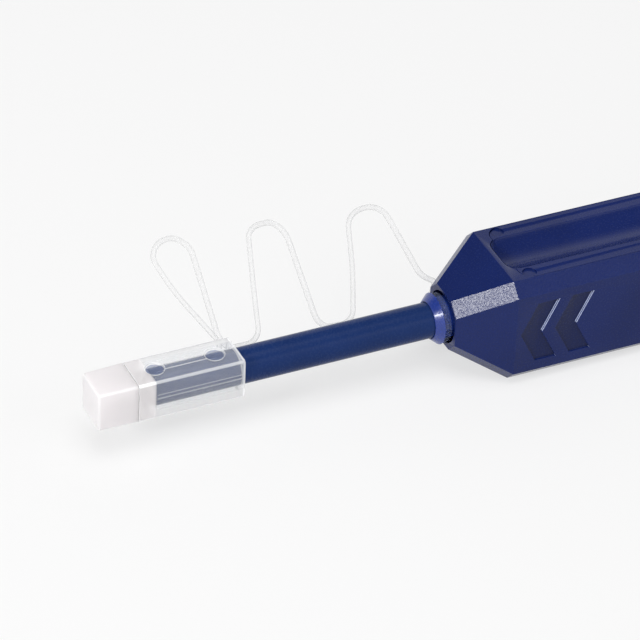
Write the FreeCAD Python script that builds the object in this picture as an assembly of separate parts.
"""Fibre connector cleaning pen: square pen body, extending nozzle, guide cap, dust cap and cap tether.

Millimetres. X runs along the pen from its tip (-X) to its tail (+X), Y is across and Z is up.
The origin is on the nozzle axis, in the plane of the body's nose mouth. The pen lies on its flat underside.

How it works: the nozzle and its carriage slide 10 mm into the inner frame when the tip is pushed against
a connector. A pin in the frame turns the grooved barrel and its tip rod half a turn, and a rack in the
frame turns the gear that winds the cleaning tape on. The whole inner frame slides 22 mm to the rear to
shorten the nozzle, once the lock button on top is pressed.
"""
import FreeCAD
import Part
import os
from math import ceil, copysign, cos, degrees, pi, radians, sin, tan

V = FreeCAD.Vector

# ---- body ----
body_width = 19.0
body_half = body_width / 2
edge_chamfer = 2.1
body_length = 140.0
nose_length = 8.5
mouth_half = 4.75
mouth_depth = 2.0
throat_front = 4.0
throat_half = mouth_half + 0.15
wall = 1.5
inner_half = body_half - wall
inner_chamfer = 1.25
hollow_front = nose_length + 1.0
tail_length = 2.0
shell_end = body_length - tail_length

# ---- named clearances ----
running_gap = 0.06
slide_gap = 0.2
seam_gap = 0.1
clear_gap = 0.3

# ---- nozzle ----
tube_radius = 2.95
tube_bore = 2.3
tube_front = -50.8
tip_reach = 0.8
tip_front = tube_front - tip_reach

# ---- strokes ----
push_stroke = 10.0
extension_stroke = 22.0
tip_turn_per_stroke = 180.0

# ---- finger pocket and chevrons ----
pocket_front = 9.35
pocket_rear = 84.0
pocket_width = 9.0
pocket_depth = 1.7
pocket_corner = 2.5
chevron_count = 2
chevron_tip = 9.4
chevron_pitch = 6.1
chevron_thickness = 3.7
chevron_height = 11.2
chevron_sweep = 2.8
chevron_depth = 0.4

# ---- top cover ----
cover_half = body_half - edge_chamfer - 0.15
cover_front = 10.5
cover_corner = 2.4
tongue_length = 12.0
belly_half = cover_half - 1.65
tongue_belly_half = pocket_width / 2 - 1.0
belly_bottom = body_half - pocket_depth - 1.4
ledge_inner = cover_half - 0.95
ledge_depth = 1.1
plug_length = 3.5
slot_half = 2.15
dimple_radius = 1.2
dimple_depth = 0.3

# ---- inner frame (slides in the body) ----
frame_half = inner_half - slide_gap
frame_wall = 1.0
frame_front = 9.9
frame_rear = 112.0
frame_top = belly_bottom - 0.6
frame_floor = -frame_half + frame_wall
lock_bar_fronts = (43.5, 57.2)
lock_bar_length = 1.3
spring_wall_front = 34.0
spring_wall_length = 1.5

# ---- lock button and its leaf latch ----
button_front = 47.0
button_rear = 55.0
button_top = body_half - 0.9
button_foot_rear = 56.7
button_foot_half = belly_half - clear_gap
button_foot_thickness = 0.33
button_ridges = 4
button_ridge_pitch = 1.4
ridge_half = 0.3
catch_front = 45.8
catch_rear = 46.6
catch_side = (button_foot_half - 1.4, button_foot_half + 0.1)
catch_rise = 0.75
latch_thickness = 0.15

# ---- carriage (slides in the inner frame) ----
carriage_half = frame_half - frame_wall - slide_gap
carriage_bottom = frame_floor + slide_gap
carriage_plate = 1.0
carriage_floor = carriage_bottom + carriage_plate
carriage_front = 12.2
block_length = 4.0
carriage_rear = 99.5
bulkhead_top = frame_top - 1.2
bulkhead_length = 2.0
saddle_fronts = (36.5, 62.0)
cheek_front = 66.0
cheek_slope = 3.0
cheek_top = 3.0

# ---- turning spindle ----
barrel_radius = -carriage_floor - 1.0
barrel_front = 39.0
barrel_rear = 61.5
journal_radius = 2.2
journal_length = 2.8
barrel_bore = 1.5
groove_width = 2.0
groove_depth = 1.2
groove_run_out = 2.0
cam_pin_radius = 0.9
cam_pin_x = 56.0
rod_height = 1.4
rod_radius = 1.05

# ---- feed drive ----
gear_teeth = 14
gear_module = (-carriage_floor - 0.8) / (gear_teeth / 2 + 1)
gear_radius = gear_module * gear_teeth / 2
gear_addendum = gear_module
gear_dedendum = 1.25 * gear_module
gear_backlash = 0.08
gear_width = 2.4
gear_start = carriage_half - carriage_plate - clear_gap - gear_width
ratchet_width = 0.8
ratchet_teeth = 12
ratchet_radius = 3.2
ratchet_tooth = 0.5
rim_teeth = 20
rim_tooth = 0.4
rack_front = 72.0
rack_teeth = 9
rack_pitch_line = -gear_radius

# ---- tape and reels ----
tape_width = 0.9
tape_thickness = 0.2
tape_offset = rod_height / 2 + tape_thickness / 2 + 0.02
axle_radius = 1.0
take_up_x = 76.0
supply_x = 92.5
flange_radius = -carriage_floor - 0.4
flange_plate = 0.8
hub_radius = 2.0
reel_start = carriage_plate - carriage_half + 1.0
reel_stop = gear_start - ratchet_width - clear_gap
roll_width = reel_stop - reel_start - 2 * flange_plate
take_up_roll = 3.2
supply_roll = flange_radius - 0.8
guide_pin_x = 69.5
guide_pin_radius = 0.8
pawl_root = 8.5

# ---- return spring ----
spring_turns = 5
spring_steps = 14
spring_radius = 3.55
spring_wire = 0.55

# ---- caps and tether ----
cap_square = 7.1
cap_round = 0.45
guide_rear = -36.0
guide_front = -54.0
dust_front = -60.8
dust_square_front = 6.87
dust_chamfer = 0.3
recess_radius = 1.6
recess_depth = 0.3
recess_places = (-50.0, -39.8)
boss_radius = 2.2
boss_length = 3.0
ferrule_bore = 1.27
stud_x = -57.4
stud_radius = 0.8
stud_end = cap_square / 2 + 1.45
stud_head = 0.45
strap_width = 1.0
strap_thickness = 0.8
strap_tilt = 35.0
strap_offset = 4.2
eye_wall = 1.1
arc_share = 0.45
arc_step = 20.0

# ---- nose collar ----
collar_front = -2.7
collar_rear = -1.45
collar_lip = 4.3
collar_face = 3.2
collar_stem = 3.45


# ---------------------------------------------------------------- helpers
def box(x0, x1, y0, y1, z0, z1):
    return Part.makeBox(x1 - x0, y1 - y0, z1 - z0, V(x0, y0, z0))


def rod_x(x0, x1, radius, y=0.0, z=0.0):
    return Part.makeCylinder(radius, x1 - x0, V(x0, y, z), V(1, 0, 0))


def rod_y(y0, y1, radius, x=0.0, z=0.0):
    return Part.makeCylinder(radius, y1 - y0, V(x, y0, z), V(0, 1, 0))


def rod_z(z0, z1, radius, x=0.0, y=0.0):
    return Part.makeCylinder(radius, z1 - z0, V(x, y, z0), V(0, 0, 1))


def octagon(x, half, chamfer):
    """Corners of a square with cut corners, across the pen at x."""
    flat = half - chamfer
    corners = [(flat, half), (half, flat), (half, -flat), (flat, -half)]
    corners += [(-y, -z) for y, z in corners]
    return [V(x, y, z) for y, z in corners]


def flat_face(corners):
    return Part.Face(Part.makePolygon(corners + corners[:1]))


def prism_x(x0, x1, half, chamfer):
    return flat_face(octagon(x0, half, chamfer)).extrude(V(x1 - x0, 0, 0))


def skin(rings):
    """Solid through rings of corners. A side that isn't flat becomes two triangles."""
    faces = [flat_face(rings[0]), flat_face(rings[-1])]
    for front, rear in zip(rings, rings[1:]):
        for i in range(len(front)):
            first, second, third, fourth = front[i - 1], front[i], rear[i], rear[i - 1]
            upright = (second - first).cross(fourth - first).normalize()
            if abs(upright.dot(third - first)) < 1e-6:
                faces.append(flat_face([first, second, third, fourth]))
            else:
                faces.append(flat_face([first, second, third]))
                faces.append(flat_face([first, third, fourth]))
    return Part.Solid(Part.Shell(faces))


def tapered_x(x0, half0, x1, half1, chamfer):
    """Pyramid stump with cut corners."""
    return skin([octagon(x0, half0, chamfer), octagon(x1, half1, chamfer)])


def plate_xz(points, y0, y1):
    """Outline in the XZ plane, thick from y0 to y1."""
    return flat_face([V(x, y0, z) for x, z in points]).extrude(V(0, y1 - y0, 0))


def turned(profile):
    """Solid of revolution about the nozzle axis from (x, radius) points."""
    return flat_face([V(x, 0, r) for x, r in profile]).revolve(V(0, 0, 0), V(1, 0, 0), 360)


def rounded_plan(x0, x1, half, corner, z):
    """Rectangle in plan with four round corners."""
    shape = Part.makePlane(x1 - x0, 2 * half, V(x0, -half, z))
    solid = shape.extrude(V(0, 0, 1))
    upright = [e for e in solid.Edges if abs(e.tangentAt(e.FirstParameter).z) > 0.9]
    solid = solid.makeFillet(corner, upright)
    foot = [f for f in solid.Faces if abs(f.CenterOfMass.z - z) < 1e-6]
    return foot[0].OuterWire


def ribbon(points, thickness, y0, y1):
    """Thin strip that follows points in the XZ plane, with mitred bends."""
    def side(sign):
        out = []
        for i, (x, z) in enumerate(points):
            before = points[max(i - 1, 0)]
            after = points[min(i + 1, len(points) - 1)]
            a = V(x - before[0], 0, z - before[1])
            b = V(after[0] - x, 0, after[1] - z)
            a = b if a.Length == 0 else a
            b = a if b.Length == 0 else b
            a.normalize()
            b.normalize()
            middle = V(-a.z - b.z, 0, a.x + b.x)
            middle.normalize()
            reach = sign * thickness / 2 / middle.dot(V(-a.z, 0, a.x))
            out.append((x + middle.x * reach, z + middle.z * reach))
        return out
    return plate_xz(side(1) + side(-1)[::-1], y0, y1)


def smooth_route(points):
    """Points with every bend turned into a tangent arc, in steps of arc_step degrees at most."""
    lengths = [(b - a).Length for a, b in zip(points, points[1:])]
    route = [points[0]]
    for i, corner in enumerate(points[1:-1]):
        into = (corner - points[i]).normalize()
        out = (points[i + 2] - corner).normalize()
        trim = arc_share * min(lengths[i], lengths[i + 1])
        turn = into.getAngle(out)
        axis = into.cross(out).normalize()
        to_centre = axis.cross(into) * trim / tan(turn / 2)
        centre = corner - into * trim + to_centre
        steps = ceil(degrees(turn) / arc_step)
        for k in range(steps + 1):
            spoke = FreeCAD.Rotation(axis, degrees(turn) * k / steps).multVec(to_centre)
            route.append(centre - spoke)
    return route + [points[-1]]


def strip_along(points, width, thickness, normal):
    """Rectangular strip with mitred bends; its width stays as near to normal as the route lets it."""
    rings = []
    for i, point in enumerate(points):
        way = points[min(i + 1, len(points) - 1)] - points[max(i - 1, 0)]
        side = way.cross(normal).normalize()
        across = side.cross(way).normalize() * width / 2
        side = side * thickness / 2
        rings.append([point + c for c in (side + across, side - across, -side - across, across - side)])
    return skin(rings)


# ---------------------------------------------------------------- body
def pocket_cutter():
    """Concave finger pocket, drafted at both ends."""
    centre_height = pocket_width ** 2 / 8 / pocket_depth - pocket_depth / 2
    hollow_radius = centre_height + pocket_depth
    trough = rod_x(pocket_front - 1, pocket_rear + 1, hollow_radius, 0, body_half + centre_height)
    end_draft = 1.0
    top = rounded_plan(pocket_front, pocket_rear, pocket_width / 2, pocket_corner, body_half)
    foot = rounded_plan(pocket_front + end_draft, pocket_rear - end_draft, pocket_width / 2,
                        pocket_corner, body_half - pocket_depth - 0.1)
    bowl = Part.makeLoft([foot, top], True)
    return trough.common(bowl)


def cover_plan(grow):
    """Outline of the top cover: long plate with round front corners and a tongue for the pocket's end."""
    depth = 2 * wall
    base = body_half - wall
    half = cover_half + grow
    plate = Part.Face(rounded_plan(cover_front - grow, shell_end + cover_corner, half, cover_corner, base))
    plate = plate.extrude(V(0, 0, depth))
    plate = plate.common(box(0, shell_end, -body_half, body_half, base, base + depth))
    tongue_half = pocket_width / 2 + grow
    tongue = Part.Face(rounded_plan(pocket_front - grow, pocket_front + tongue_length, tongue_half,
                                    pocket_corner, base))
    tongue = tongue.extrude(V(0, 0, depth))
    return plate.fuse(tongue).removeSplitter()


def chevron_cutter():
    """Two wide arrows that point to the tip, sunk in the near side."""
    arrows = []
    for i in range(chevron_count):
        tip = chevron_tip + i * chevron_pitch
        arm = tip + chevron_sweep
        reach = chevron_height / 2
        points = [(tip, 0), (arm, reach), (arm + chevron_thickness, reach)]
        points += [(tip + chevron_thickness, 0), (arm + chevron_thickness, -reach), (arm, -reach)]
        arrows.append(plate_xz(points, -body_half - 1, -body_half + chevron_depth))
    return Part.makeCompound(arrows)


def main_shell():
    nose = tapered_x(0, mouth_half, nose_length, body_half, edge_chamfer)
    shell = nose.fuse(prism_x(nose_length, shell_end, body_half, edge_chamfer)).removeSplitter()
    throat = tapered_x(throat_front, throat_half, hollow_front, inner_half, inner_chamfer)
    hollow = throat.fuse(prism_x(hollow_front, shell_end, inner_half, inner_chamfer))
    shell = shell.cut(hollow)
    shell = shell.cut(rod_x(-1, mouth_depth, collar_lip + 0.1))
    shell = shell.cut(rod_x(-1, throat_front + 1, collar_stem + 0.02))
    ledge_top = body_half - wall
    for sign in (-1, 1):
        ys = sorted((sign * ledge_inner, sign * (inner_half + 0.2)))
        ledge = box(cover_front + 2, shell_end - plug_length - 0.5, ys[0], ys[1],
                    ledge_top - ledge_depth, ledge_top)
        shell = shell.fuse(ledge)
    shell = shell.cut(cover_plan(seam_gap))
    shell = shell.cut(pocket_cutter())
    return shell.cut(chevron_cutter()).removeSplitter()


def top_cover():
    base = body_half - wall
    cover = cover_plan(0).common(box(0, shell_end, -body_half, body_half, base, body_half))
    belly = box(cover_front + 1, shell_end - plug_length - 0.5, -belly_half, belly_half, belly_bottom, base)
    belly = belly.fuse(box(hollow_front + seam_gap, cover_front + 1, -tongue_belly_half, tongue_belly_half,
                           belly_bottom, base))
    cover = cover.fuse(belly).cut(pocket_cutter())
    slot_front = button_front - slide_gap
    slot_rear = button_rear + extension_stroke + slide_gap
    slot = rounded_plan(slot_front, slot_rear, slot_half, 1.0, belly_bottom - 1)
    cover = cover.cut(Part.Face(slot).extrude(V(0, 0, 4 * wall)))
    for shift in (0, extension_stroke):
        notch = box(catch_front + shift - slide_gap, catch_rear + shift + slide_gap, *catch_side,
                    belly_bottom - 1, belly_bottom + catch_rise + clear_gap)
        cover = cover.cut(notch)
    for sign in (-1, 1):
        centre = pocket_width / 2 + dimple_radius + 0.25
        cover = cover.cut(rod_z(body_half - dimple_depth, body_half + 1, dimple_radius,
                                cover_front + dimple_radius + 0.3, sign * centre))
    return cover.removeSplitter()


def end_cap():
    face_chamfer = 0.6
    rim_front = body_length - face_chamfer
    plate = prism_x(shell_end, rim_front, body_half, edge_chamfer)
    rim = tapered_x(rim_front, body_half, body_length, body_half - face_chamfer, edge_chamfer)
    plug_half = inner_half - 0.1
    plug = prism_x(shell_end - plug_length, shell_end, plug_half, inner_chamfer)
    plug = plug.cut(prism_x(shell_end - plug_length - 1, shell_end, plug_half - 1.3, inner_chamfer))
    return plate.fuse(rim).fuse(plug).removeSplitter()


def nose_collar():
    """Turned ring: a flared lip, a groove for the strap and a stem pressed in the nose."""
    bore = tube_radius + running_gap
    profile = [(collar_front, bore), (collar_front, collar_face), (collar_rear, collar_lip)]
    profile += [(collar_rear, collar_stem), (throat_front + 1, collar_stem), (throat_front + 1, bore)]
    return turned(profile)


# ---------------------------------------------------------------- inner frame and lock
def inner_frame():
    frame = prism_x(frame_front, frame_rear, frame_half, inner_chamfer + 0.1)
    trough_front = frame_front + 2.0
    trough_rear = frame_rear - 1.5
    side = frame_half - frame_wall
    frame = frame.cut(box(trough_front, trough_rear, -side, side, frame_floor, body_half))
    frame = frame.cut(box(0, body_length, -body_half, body_half, frame_top, body_half))
    bar_bottom = bulkhead_top + clear_gap
    root = side + frame_wall / 2
    for front in lock_bar_fronts:
        frame = frame.fuse(box(front, front + lock_bar_length, -root, root, bar_bottom, frame_top))
    wall_rear = spring_wall_front + spring_wall_length
    frame = frame.fuse(box(spring_wall_front, wall_rear, -root, root, carriage_floor + 0.4, frame_top))
    frame = frame.cut(rod_x(spring_wall_front - 1, wall_rear + 1, rod_radius + 0.95))
    frame = frame.cut(rod_x(frame_front - 1, trough_front + 1, tube_radius + clear_gap))
    frame = frame.cut(rod_z(-body_half, frame_floor + 1, cam_pin_radius, cam_pin_x))
    return frame.removeSplitter()


def cam_pin():
    groove_bottom = barrel_radius - groove_depth
    return rod_z(-frame_half, -groove_bottom - 0.15, cam_pin_radius, cam_pin_x)


def feed_rack():
    """Straight rack in mesh with the feed gear at rest: a tooth space lies below the gear's axis."""
    pitch = pi * gear_module
    root = rack_pitch_line - gear_dedendum
    tip = rack_pitch_line + gear_addendum
    slope = tan(radians(20))
    pitch_half = pitch / 4 - gear_backlash / 2
    root_half = pitch_half + gear_dedendum * slope
    tip_half = pitch_half - gear_addendum * slope
    points = []
    first = take_up_x - round((take_up_x - rack_front) / pitch) * pitch + pitch / 2
    for i in range(rack_teeth):
        centre = first + i * pitch
        points += [(centre - root_half, root), (centre - tip_half, tip)]
        points += [(centre + tip_half, tip), (centre + root_half, root)]
    rear = points[-1][0] + 0.4
    front = points[0][0] - 0.4
    points += [(rear, root), (rear, frame_floor), (front, frame_floor), (front, root)]
    return plate_xz(points, gear_start, gear_start + gear_width)


def lock_button():
    """Button with a wide foot held under the cover and a ridged head in the cover's slot."""
    foot_top = belly_bottom - seam_gap
    foot = box(button_front + 0.2, button_foot_rear, -button_foot_half, button_foot_half,
               foot_top - button_foot_thickness, foot_top)
    head_plan = rounded_plan(button_front, button_rear, slot_half - slide_gap, 0.9, foot_top)
    head = Part.Face(head_plan).extrude(V(0, 0, button_top - foot_top))
    button = foot.fuse(head)
    middle = (button_front + button_rear) / 2
    for i in range(button_ridges):
        x = middle + (i - (button_ridges - 1) / 2) * button_ridge_pitch
        notch = [(x - ridge_half, button_top), (x, button_top - ridge_half), (x + ridge_half, button_top)]
        button = button.cut(plate_xz(notch, -slot_half, slot_half))
    return button.removeSplitter()


def lock_latch():
    """Leaf spring under the button's foot, with a bent catch in the cover's notch."""
    root = lock_bar_fronts[1] + lock_bar_length
    rise = frame_top + latch_thickness / 2
    peak = (catch_front + catch_rear) / 2
    points = [(root, rise), (catch_rear, rise), (peak, belly_bottom + catch_rise), (catch_front, rise)]
    near, far = catch_side
    return ribbon(points, latch_thickness, near + slide_gap, far - slide_gap)


# ---------------------------------------------------------------- carriage and spindle
def carriage():
    body = box(carriage_front, carriage_rear, -carriage_half, carriage_half, carriage_bottom, carriage_floor)
    body = body.fuse(box(carriage_front, carriage_front + block_length, -carriage_half, carriage_half,
                         carriage_bottom, bulkhead_top + 0.6))
    saddle = journal_radius + running_gap
    for front in saddle_fronts:
        rear = front + bulkhead_length
        plate = box(front, rear, -carriage_half, carriage_half, carriage_bottom, bulkhead_top)
        plate = plate.cut(rod_x(front - 1, rear + 1, saddle))
        plate = plate.cut(box(front - 1, rear + 1, -saddle, saddle, 0, bulkhead_top + 1))
        body = body.fuse(plate)
    side_inner = carriage_half - carriage_plate
    cheek = [(cheek_front, carriage_bottom), (cheek_front + cheek_slope, cheek_top)]
    cheek += [(carriage_rear, cheek_top), (carriage_rear, carriage_bottom)]
    body = body.fuse(plate_xz(cheek, side_inner, carriage_half))
    body = body.fuse(plate_xz(cheek, -carriage_half, reel_start - clear_gap))
    body = body.fuse(box(carriage_rear - carriage_plate, carriage_rear, -carriage_half, carriage_half,
                         carriage_bottom, cheek_top))
    pillar_half = 2.0
    body = body.fuse(box(supply_x - pillar_half, supply_x + pillar_half, gear_start + slide_gap,
                         side_inner, carriage_floor, pillar_half))
    for x in (take_up_x, supply_x):
        body = body.cut(rod_y(-carriage_half - 1, carriage_half + 1, axle_radius + 0.01, x))
    guide_z = guide_pin_radius - supply_roll
    body = body.cut(rod_y(-carriage_half - 1, reel_start, guide_pin_radius, guide_pin_x, guide_z))
    body = body.cut(rod_x(carriage_front - 1, carriage_front + block_length + 1, tube_radius))
    pin_slot = cam_pin_radius + clear_gap
    body = body.cut(box(cam_pin_x - push_stroke - pin_slot, cam_pin_x + pin_slot, -pin_slot, pin_slot,
                        carriage_bottom - 1, carriage_floor + 1))
    rack_reach = rack_teeth * pi * gear_module + 2
    rack_tip = rack_pitch_line + gear_addendum
    body = body.cut(box(rack_front - push_stroke - 1, rack_front + rack_reach + 1, gear_start - clear_gap,
                        gear_start + gear_width + 0.25, carriage_bottom - 1, rack_tip + clear_gap))
    return body.removeSplitter()


def nozzle_tube():
    rear = carriage_front + block_length
    return rod_x(tube_front, rear, tube_radius).cut(rod_x(tube_front - 1, rear + 1, tube_bore))


def cam_barrel():
    """Barrel with a helical groove that the frame's pin follows through half a turn."""
    front = barrel_front - journal_length
    rear = barrel_rear + journal_length
    barrel = rod_x(barrel_front, barrel_rear, barrel_radius).fuse(rod_x(front, rear, journal_radius))
    barrel = barrel.cut(rod_x(front - 1, rear + 1, barrel_bore))
    lead = push_stroke * 360 / tip_turn_per_stroke
    groove_front = cam_pin_x - push_stroke - groove_run_out
    helix = Part.makeHelix(lead, push_stroke + 2 * groove_run_out, barrel_radius)
    way = helix.Edges[0].tangentAt(helix.Edges[0].FirstParameter)
    out = V(1, 0, 0)
    across = way.cross(out) * groove_width / 2
    top = out * (barrel_radius + 0.5)
    floor = out * (barrel_radius - groove_depth)
    section = [top + across, top - across, floor - across, floor + across]
    groove = helix.makePipeShell([Part.makePolygon(section + section[:1])], True, True)
    groove.rotate(V(0, 0, 0), V(0, 1, 0), 90)
    groove.rotate(V(0, 0, 0), V(1, 0, 0), (groove_front - cam_pin_x) * 360 / lead)
    groove.translate(V(groove_front, 0, 0))
    return barrel.cut(groove).removeSplitter()


def tip_rod():
    """Flat-sided rod that carries the tape over the tip, with a notched head pressed in the barrel."""
    head_front = barrel_front - journal_length
    head_length = 6.0
    rod = rod_x(tip_front, head_front + 0.5, rod_radius)
    flat = rod_height / 2
    rod = rod.common(box(tip_front, head_front + 0.5, -rod_radius, rod_radius, -flat, flat))
    head = rod_x(head_front, head_front + head_length, barrel_bore)
    notch_half = tape_width / 2 + 0.1
    for z0, z1 in ((flat, 2 * barrel_bore), (-2 * barrel_bore, -flat)):
        head = head.cut(box(head_front - 1, head_front + head_length + 1, -notch_half, notch_half, z0, z1))
    return rod.fuse(head).removeSplitter()


def return_spring():
    """Open coil of square wire between the carriage's front block and the frame's wall."""
    half = spring_wire / 2
    front = carriage_front + block_length + 0.05 + half
    rear = spring_wall_front - 0.05 - half
    steps = spring_turns * spring_steps
    rings = []
    for i in range(steps + 1):
        middle = V(front + (rear - front) * i / steps, 0, 0)
        angle = 2 * pi * i / spring_steps
        out = V(0, sin(angle), -cos(angle))
        corners = [(-half, -half), (half, -half), (half, half), (-half, half)]
        rings.append([middle + V(along, 0, 0) + out * (spring_radius + away) for along, away in corners])
    return skin(rings)


# ---------------------------------------------------------------- reels, drive and tape
def saw_wheel(teeth, outer, depth, x, y0, y1):
    """Ratchet outline: each tooth rises gently and drops along a radius."""
    points = []
    for i in range(teeth):
        angle = 2 * pi * i / teeth
        points.append((x + outer * cos(angle), outer * sin(angle)))
        points.append((x + (outer - depth) * cos(angle), (outer - depth) * sin(angle)))
    return plate_xz(points, y0, y1)


def reel(x):
    """Tape reel: hub between two flanges, bored for its axle."""
    shape = rod_y(reel_start, reel_stop, hub_radius, x)
    shape = shape.fuse(rod_y(reel_start, reel_start + flange_plate, flange_radius, x))
    shape = shape.fuse(rod_y(reel_stop - flange_plate, reel_stop, flange_radius, x))
    return shape.cut(rod_y(reel_start - 1, reel_stop + 1, axle_radius + running_gap, x))


def take_up_reel():
    """Reel with a saw-toothed rim for the holding pawl and a small ratchet for the gear's finger."""
    shape = reel(take_up_x)
    ratchet = saw_wheel(ratchet_teeth, ratchet_radius, ratchet_tooth, take_up_x, reel_stop - 0.1,
                        reel_stop + ratchet_width)
    rim = saw_wheel(rim_teeth, flange_radius + 0.1, rim_tooth, take_up_x, reel_start,
                    reel_start + flange_plate)
    ring = rod_y(reel_start - 1, reel_stop, flange_radius - 1.5 * rim_tooth, take_up_x)
    outer = rod_y(reel_start - 1, reel_start + flange_plate, flange_radius + 1, take_up_x).cut(ring)
    shape = shape.cut(outer).fuse(rim.cut(ring)).fuse(ratchet)
    bore = rod_y(reel_start - 1, reel_stop + 2, axle_radius + running_gap, take_up_x)
    return shape.cut(bore).removeSplitter()


def supply_reel():
    return reel(supply_x).removeSplitter()


def tape_roll(x, radius):
    start = reel_start + flange_plate
    hub = rod_y(start - 1, start + roll_width + 1, hub_radius, x)
    return rod_y(start, start + roll_width, radius, x).cut(hub)


def feed_gear():
    """Spur gear with straight-flanked teeth of 20 degree form, one tooth pointing down into the rack."""
    tip = gear_radius + gear_addendum
    root = gear_radius - gear_dedendum
    pitch_half = (pi * gear_module / 4 - gear_backlash / 2) / gear_radius
    tip_half = pitch_half - 0.42 * gear_module / tip
    root_half = pitch_half + 0.30 * gear_module / root
    flank = [(root, root_half), (gear_radius, pitch_half), (tip, tip_half)]
    tooth = [(radius, -half) for radius, half in flank] + flank[::-1]
    points = []
    for i in range(gear_teeth):
        centre = -pi / 2 + 2 * pi * i / gear_teeth
        for radius, half in tooth:
            points.append((take_up_x + radius * cos(centre + half), radius * sin(centre + half)))
    gear = plate_xz(points, gear_start, gear_start + gear_width)
    return gear.cut(rod_y(gear_start - 1, gear_start + gear_width + 1, axle_radius + running_gap, take_up_x))


def ratchet_pawl():
    """Curved spring finger on the gear's inner face, its end behind a ratchet tooth."""
    inner = ratchet_radius + 0.15
    outer = inner + ratchet_tooth
    start = gear_start - ratchet_width
    ring = rod_y(start, gear_start, outer, take_up_x).cut(rod_y(start - 1, gear_start + 1, inner, take_up_x))
    finger = ring.common(box(take_up_x, take_up_x + outer, start, gear_start, 0.35, outer))
    pad = box(take_up_x + inner - 0.42, take_up_x + outer - 0.05, start, gear_start, 0.12, 0.7)
    return finger.fuse(pad).removeSplitter()


def holding_pawl():
    """Leaf on the carriage floor that stops the take-up reel from running back."""
    root_x = take_up_x + pawl_root
    points = [(root_x, carriage_floor + 0.1), (root_x - 2.4, carriage_floor + 0.1)]
    reach = flange_radius + 0.5
    rest_angle = radians(37)
    points.append((take_up_x + reach * cos(rest_angle), -reach * sin(rest_angle)))
    return ribbon(points, 0.2, reel_start + 0.1, reel_start + flange_plate - 0.1)


def take_up_axle():
    return rod_y(-carriage_half + 0.1, carriage_half - 0.1, axle_radius, take_up_x)


def supply_axle():
    return rod_y(-carriage_half + 0.1, carriage_half - 0.1, axle_radius, supply_x)


def brake_washer():
    """Thin washer that drags on the supply reel and keeps the tape tight."""
    washer = rod_y(reel_stop + 0.05, gear_start + 0.15, 2.4, supply_x)
    return washer.cut(rod_y(reel_stop - 1, gear_start + 1, axle_radius + running_gap, supply_x))


def tape_guide():
    """Pin that turns the tape up towards the barrel."""
    stop = reel_stop - flange_plate - 0.2
    return rod_y(-carriage_half + 0.1, stop, guide_pin_radius, guide_pin_x, guide_pin_radius - supply_roll)


def cleaning_tape():
    """Tape from the supply roll, along the rod, over the tip and back to the take-up roll."""
    bore_end = barrel_rear + journal_length + 0.7
    low = -supply_roll - tape_thickness / 2 - 0.02
    guide_x = guide_pin_x - 0.2
    front = tip_front - tape_thickness / 2 - 0.02
    points = [(supply_x, low), (guide_x, low), (guide_x - 1.0, low + 0.45), (bore_end, -tape_offset)]
    points += [(front, -tape_offset), (front, tape_offset), (bore_end, tape_offset)]
    points += [(take_up_x, take_up_roll + tape_thickness / 2 + 0.1)]
    return ribbon(points, tape_thickness, -tape_width / 2, tape_width / 2)


# ---------------------------------------------------------------- caps and tether
def soft_square(x, side, corner):
    """Corners of a square, across the pen at x, with each corner rounded in three steps."""
    inner = side / 2 - corner
    points = []
    for quarter in range(4):
        middle_angle = radians(45 + 90 * quarter)
        middle_y = inner * copysign(1, cos(middle_angle))
        middle_z = inner * copysign(1, sin(middle_angle))
        for step in range(4):
            angle = radians(90 * quarter + 30 * step)
            points.append(V(x, middle_y + corner * cos(angle), middle_z + corner * sin(angle)))
    return points


def guide_cap():
    cap = skin([soft_square(x, cap_square, cap_round) for x in (guide_front, guide_rear)])
    cap = cap.fuse(rod_x(guide_front - boss_length, guide_front + 1, boss_radius))
    seat = tip_front - 2 * tape_thickness
    cap = cap.cut(rod_x(seat, guide_rear + 1, tube_radius + running_gap))
    cap = cap.cut(rod_x(guide_front - boss_length - 1, seat + 1, ferrule_bore))
    for x in recess_places:
        cap = cap.cut(rod_z(cap_square / 2 - recess_depth, cap_square, recess_radius, x))
    return cap.removeSplitter()


def dust_cap():
    seam = guide_front - 0.05
    cap = skin([soft_square(dust_front, dust_square_front - 2 * dust_chamfer, cap_round - dust_chamfer / 2),
                soft_square(dust_front + dust_chamfer, dust_square_front, cap_round),
                soft_square(seam, cap_square, cap_round)])
    cap = cap.cut(rod_x(guide_front - boss_length - 0.5, guide_front + 1, boss_radius + running_gap))
    cap = cap.fuse(rod_y(cap_square / 2 - 0.3, stud_end, stud_radius, stud_x))
    return cap.fuse(rod_y(stud_end, stud_end + stud_head, stud_radius + stud_head, stud_x)).removeSplitter()


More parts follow.
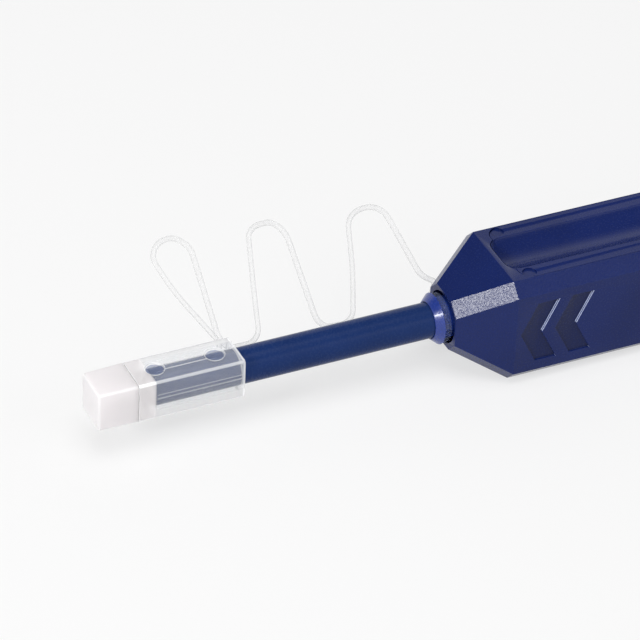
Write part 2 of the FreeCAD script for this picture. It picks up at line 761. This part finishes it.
def strap_route():
    """Points of the strap: (x, distance up its tilted plane, distance behind that plane)."""
    tilt = radians(strap_tilt)
    route = [
        (-55.8, 0.0, 0.0), (-46.5, 0.1, 0.7), (-37.4, 0.2, 1.4), (-35.8, 1.8, 1.4), (-40.6, 11.8, 1.0),
        (-42.5, 18.0, 0.5), (-41.0, 20.2, 0.2), (-38.2, 20.6, 0.0), (-35.9, 18.3, 0.0), (-36.4, 2.5, 0.0),
        (-35.4, 0.5, 0.0), (-30.0, 0.3, 0.0), (-28.1, 8.9, 0.0), (-25.6, 19.2, 0.0), (-21.3, 19.4, 0.0),
        (-19.7, 16.8, 0.0), (-19.7, 1.6, 0.0), (-18.6, 0.1, 0.0), (-13.9, -0.2, 0.0), (-11.0, 8.0, 0.0),
        (-8.6, 17.9, 0.0), (-2.6, 18.1, 0.0), (-1.5, 12.1, 0.0), (-0.2, 4.8, 0.0), (2.1, 3.3, 0.5),
        (1.5, 2.2, 1.2), (-0.55, 0.3, 1.2), (-0.8, -0.4, -0.1)]
    up = V(0, cos(tilt), sin(tilt))
    behind = V(0, sin(tilt), -cos(tilt))
    return [V(x, strap_offset, 0) + up * h + behind * s for x, h, s in route]


def cap_tether():
    """Moulded strap: eye on the dust cap's stud, three loops, and a ring in the collar's groove."""
    tilt = radians(strap_tilt)
    plane_normal = V(0, sin(tilt), -cos(tilt))
    strap = strip_along(smooth_route(strap_route()), strap_width, strap_thickness, plane_normal)
    ring_front = collar_rear + 0.2
    ring_rear = -0.25
    ring_inner = collar_stem + seam_gap
    ring_outer = ring_inner + 0.55
    ring = rod_x(ring_front, ring_rear, ring_outer).cut(rod_x(ring_front - 1, ring_rear + 1, ring_inner))
    eye_start = cap_square / 2 + 0.25
    eye = rod_y(eye_start, eye_start + strap_width, stud_radius + eye_wall, stud_x)
    eye = eye.cut(rod_y(eye_start - 1, eye_start + 2, stud_radius + seam_gap, stud_x))
    return strap.fuse(ring).fuse(eye).removeSplitter()


# ---------------------------------------------------------------- write every piece
pieces = {
    "main_shell": main_shell(),
    "top_cover": top_cover(),
    "end_cap": end_cap(),
    "nose_collar": nose_collar(),
    "inner_frame": inner_frame(),
    "cam_pin": cam_pin(),
    "feed_rack": feed_rack(),
    "lock_button": lock_button(),
    "lock_latch": lock_latch(),
    "carriage": carriage(),
    "nozzle_tube": nozzle_tube(),
    "cam_barrel": cam_barrel(),
    "tip_rod": tip_rod(),
    "return_spring": return_spring(),
    "take_up_reel": take_up_reel(),
    "take_up_roll": tape_roll(take_up_x, take_up_roll),
    "take_up_axle": take_up_axle(),
    "supply_reel": supply_reel(),
    "supply_roll": tape_roll(supply_x, supply_roll),
    "supply_axle": supply_axle(),
    "brake_washer": brake_washer(),
    "feed_gear": feed_gear(),
    "ratchet_pawl": ratchet_pawl(),
    "holding_pawl": holding_pawl(),
    "tape_guide": tape_guide(),
    "cleaning_tape": cleaning_tape(),
    "guide_cap": guide_cap(),
    "dust_cap": dust_cap(),
    "cap_tether": cap_tether(),
}

os.makedirs("parts", exist_ok=True)
for name, shape in pieces.items():
    shape.exportStep("parts/" + name + ".step")
    print(name, len(shape.Solids), shape.isValid(), round(shape.Volume, 2))
